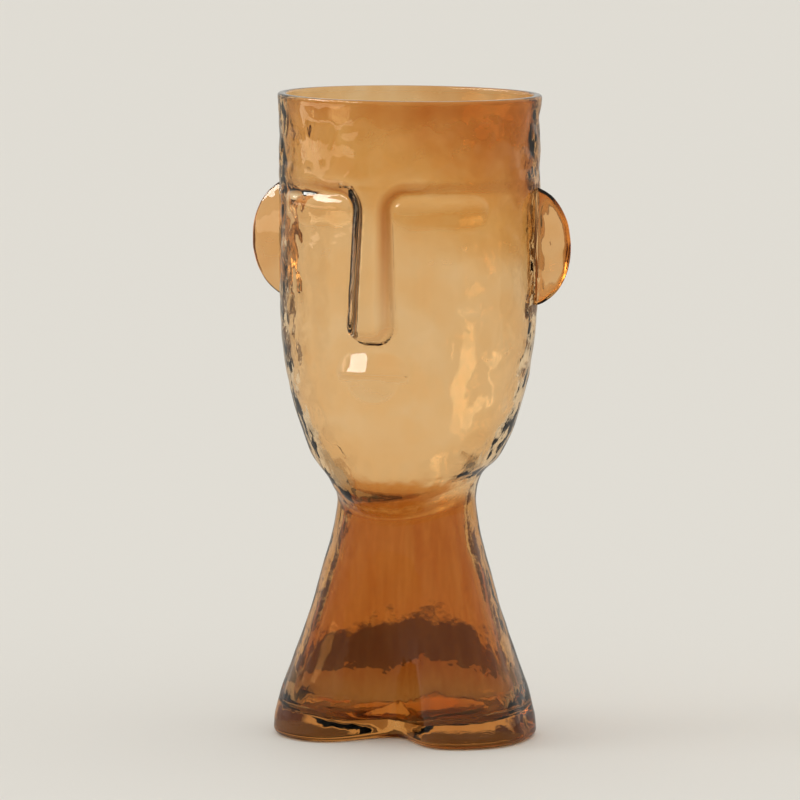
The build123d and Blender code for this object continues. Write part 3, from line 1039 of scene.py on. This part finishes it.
class SCENE_OT_face_vase_studio(Operator):
    """Set the pale floor, the soft lamps, the backdrop and the camera"""

    bl_idname = "scene.face_vase_studio"
    bl_label = "Studio"

    def execute(self, context):
        studio = context.scene.face_vase_studio
        self.add_floor(studio)
        self.light_world(context.scene, studio)
        self.add_cards(studio)
        self.add_kerb(studio)
        self.add_lamps()
        self.add_camera(context.scene, studio)
        context.scene.view_settings.view_transform = "Standard"
        return {"FINISHED"}

    @staticmethod
    def add_floor(studio):
        """A wide pale floor, level with the underside of the foot."""
        deselect_all()
        bpy.ops.mesh.primitive_plane_add(size=FLOOR_SIZE, location=(0, 0, -FLOOR_DROP))
        floor = bpy.context.object
        floor.name = "floor"
        material = new_material("pale_floor")
        tree = material.node_tree
        rays = add_node(tree, "ShaderNodeLightPath").outputs
        colour = mix_colours(tree, reflected(tree, rays), opaque(studio.backdrop),
                             opaque(studio.reflected_floor))
        fill(tree, tree.nodes["Principled BSDF"], {
            "Base Color": colour, "Roughness": 0.7, "Specular IOR Level": 0.2})
        floor.data.materials.append(material)

    @staticmethod
    def light_world(scene, studio):
        """A pale surround as the camera and the glass see it, and plain light otherwise."""
        scene.world = bpy.data.worlds.new("studio")
        scene.world.use_nodes = True
        tree = scene.world.node_tree
        shown = tree.nodes["Background"]
        fill(tree, shown, {"Color": opaque(studio.backdrop), "Strength": 1.0})
        light = add_node(tree, "ShaderNodeBackground", {
            "Color": (1.0, 0.99, 0.97, 1), "Strength": 0.97})
        dim = add_node(tree, "ShaderNodeBackground", {
            "Color": opaque(studio.backdrop), "Strength": 0.9})
        rays = add_node(tree, "ShaderNodeLightPath").outputs
        seen = calculate(tree, "MAXIMUM", rays["Is Camera Ray"], rays["Is Glossy Ray"])
        seen = calculate(tree, "MAXIMUM", seen, rays["Is Transmission Ray"])
        plain = mix_shaders(tree, seen, light.outputs["Background"],
                            shown.outputs["Background"])
        surround = mix_shaders(tree, reflected(tree, rays), plain, dim.outputs["Background"])
        fill(tree, tree.nodes["World Output"], {"Surface": surround})

    @staticmethod
    def mix_card(name, colour):
        """Dark in the middle and clear at its edges, so no outline shows in the glass."""
        material = new_material(name)
        tree = material.node_tree
        place = add_node(tree, "ShaderNodeTexCoord").outputs["UV"]
        centred = add_node(tree, "ShaderNodeMapping", {
            "Location": (-1, -1, 0), "Scale": (2, 2, 1), "Vector": place})
        ball = add_node(tree, "ShaderNodeTexGradient", {"Vector": centred.outputs["Vector"]},
                        gradient_type="SPHERICAL")
        fade_to_clear(tree, colour, rise(tree, ball.outputs["Fac"], 0.0, CARD_FADE_SHARE,
                                         curve="SMOOTHSTEP"))
        return material

    @staticmethod
    def hide_from_all_but_glass(card):
        """Leaves a card to the rays that pass through the glass."""
        card.visible_camera = False
        card.visible_diffuse = False
        card.visible_glossy = False
        card.visible_shadow = False

    def add_card(self, name, place, turn, width, height, material):
        """One soft dark card."""
        deselect_all()
        bpy.ops.mesh.primitive_plane_add(size=1, location=(0, 0, 0))
        card = bpy.context.object
        card.name = name
        card.scale = (width, height, 1)
        card.rotation_euler = turn
        card.location = place
        apply_place()
        card.data.materials.append(material)
        self.hide_from_all_but_glass(card)

    def add_cards(self, studio):
        """Soft dark cards round and under the vase, seen in its glass alone."""
        material = self.mix_card("dark_card", studio.card_colour)
        for turn in CARD_TURNS:
            angle = radians(turn)
            width, height = studio.card_width, studio.card_height
            middle = height / 2
            if turn in SMALL_CARD_TURNS:
                width, height = studio.small_card, studio.small_card
                middle = studio.small_card_height
            place = (sin(angle) * studio.card_distance, -cos(angle) * studio.card_distance,
                     middle)
            self.add_card(f"card_{round(turn)}", place, (pi / 2, 0, angle), width, height,
                          material)
        self.add_card("card_table", (TABLE_CARD_SIDE, 0, -TABLE_CARD_DROP), (0, 0, 0),
                      studio.table_card, studio.table_card,
                      self.mix_card("dark_table", studio.table_colour))

    def add_kerb(self, studio):
        """A low dark ring round the foot, clear at its upper edge."""
        deselect_all()
        bpy.ops.mesh.primitive_cylinder_add(
            vertices=KERB_SEGMENTS, radius=studio.kerb_radius, depth=studio.kerb_height,
            end_fill_type="NOTHING", location=(0, 0, studio.kerb_base + studio.kerb_height / 2))
        kerb = bpy.context.object
        kerb.name = "kerb"
        apply_place()
        material = new_material("dark_kerb")
        tree = material.node_tree
        place = add_node(tree, "ShaderNodeTexCoord").outputs["Object"]
        parts = add_node(tree, "ShaderNodeSeparateXYZ", {"Vector": place}).outputs
        fade_to_clear(tree, studio.kerb_colour, rise(
            tree, parts["Z"], studio.kerb_base + studio.kerb_height,
            studio.kerb_base + KERB_FULL_SHARE * studio.kerb_height))
        kerb.data.materials.append(material)
        self.hide_from_all_but_glass(kerb)

    @staticmethod
    def away_from(azimuth, elevation):
        """The way from the vase to a lamp, given in degrees."""
        azimuth, elevation = radians(azimuth), radians(elevation)
        return Vector((sin(azimuth) * cos(elevation), -cos(azimuth) * cos(elevation),
                       sin(elevation)))

    def add_lamps(self):
        """Three soft lamps on the face's right, and a sun that the glass doesn't show."""
        for name, azimuth, elevation, distance, width, height, power, colour, through in LAMPS:
            away = self.away_from(azimuth, elevation)
            bpy.ops.object.light_add(type="AREA")
            lamp = bpy.context.object
            lamp.name = name
            lamp.data.shape = "RECTANGLE"
            lamp.data.size = width
            lamp.data.size_y = height
            lamp.data.energy = power
            lamp.data.color = colour
            lamp.location = LAMP_TARGET + away * distance
            lamp.rotation_euler = away.to_track_quat("Z", "Y").to_euler()
            lamp.visible_camera = False
            lamp.visible_diffuse = False
            lamp.visible_glossy = not through
            lamp.visible_transmission = through
        bpy.ops.object.light_add(type="SUN")
        sun = bpy.context.object
        sun.name = "soft_sun"
        sun.data.angle = radians(SUN_SPREAD)
        sun.data.energy = SUN_POWER
        away = self.away_from(SUN_AZIMUTH, SUN_ELEVATION)
        sun.rotation_euler = away.to_track_quat("Z", "Y").to_euler()
        sun.visible_glossy = False
        sun.visible_transmission = False

    @staticmethod
    def add_camera(scene, studio):
        """A long lens, a little above the vase and to the face's left."""
        place = Vector((studio.distance * sin(studio.azimuth),
                        -studio.distance * cos(studio.azimuth), studio.eye_height))
        right = Vector((cos(studio.azimuth), sin(studio.azimuth), 0))
        target = right * studio.target_side + Vector((0, 0, studio.target_height))
        bpy.ops.object.camera_add(location=place)
        camera = bpy.context.object
        camera.name = "photo_camera"
        look = (target - place).to_track_quat("-Z", "Y").to_matrix()
        camera.rotation_euler = (look @ Matrix.Rotation(studio.roll, 3, "Z")).to_euler()
        focal_pixels = studio.pixels_per_metre * (target - place).length
        camera.data.angle = 2 * atan2(studio.picture_width / 2, focal_pixels)
        camera.data.clip_end = 100
        scene.camera = camera


class VIEW3D_PT_face_vase(Panel):
    """The vase's sizes, colours and steps"""

    bl_label = "Face Vase"
    bl_category = "Face Vase"
    bl_space_type = "VIEW_3D"
    bl_region_type = "UI"

    def draw(self, context):
        scene = context.scene
        for title, group, operator in (
            ("Amber glass", scene.face_vase_glass, MATERIAL_OT_face_vase_glass),
            ("Body", scene.face_vase_sizes, OBJECT_OT_face_vase_body),
            ("Features and ears", scene.face_vase_features, OBJECT_OT_face_vase_ears),
            ("Studio", scene.face_vase_studio, SCENE_OT_face_vase_studio),
        ):
            box = self.layout.box()
            box.label(text=title)
            for name in group.bl_rna.properties.keys():
                if name not in ("rna_type", "name"):
                    box.prop(group, name)
            box.operator(operator.bl_idname)


GROUPS = {
    "face_vase_sizes": FaceVaseSizes,
    "face_vase_features": FaceVaseFeatures,
    "face_vase_glass": FaceVaseGlass,
    "face_vase_studio": FaceVaseStudio,
}
CLASSES = (
    *GROUPS.values(),
    MATERIAL_OT_face_vase_glass,
    OBJECT_OT_face_vase_body,
    OBJECT_OT_face_vase_ears,
    SCENE_OT_face_vase_studio,
    VIEW3D_PT_face_vase,
)


def register():
    for item in CLASSES:
        bpy.utils.register_class(item)
    for name, group in GROUPS.items():
        setattr(bpy.types.Scene, name, PointerProperty(type=group))


def unregister():
    for name in GROUPS:
        delattr(bpy.types.Scene, name)
    for item in reversed(CLASSES):
        bpy.utils.unregister_class(item)


def main():
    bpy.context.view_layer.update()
    register()
    bpy.ops.material.face_vase_glass()
    bpy.ops.object.face_vase_body()
    bpy.ops.object.face_vase_ears()
    bpy.ops.scene.face_vase_studio()


if __name__ == "__main__":
    main()
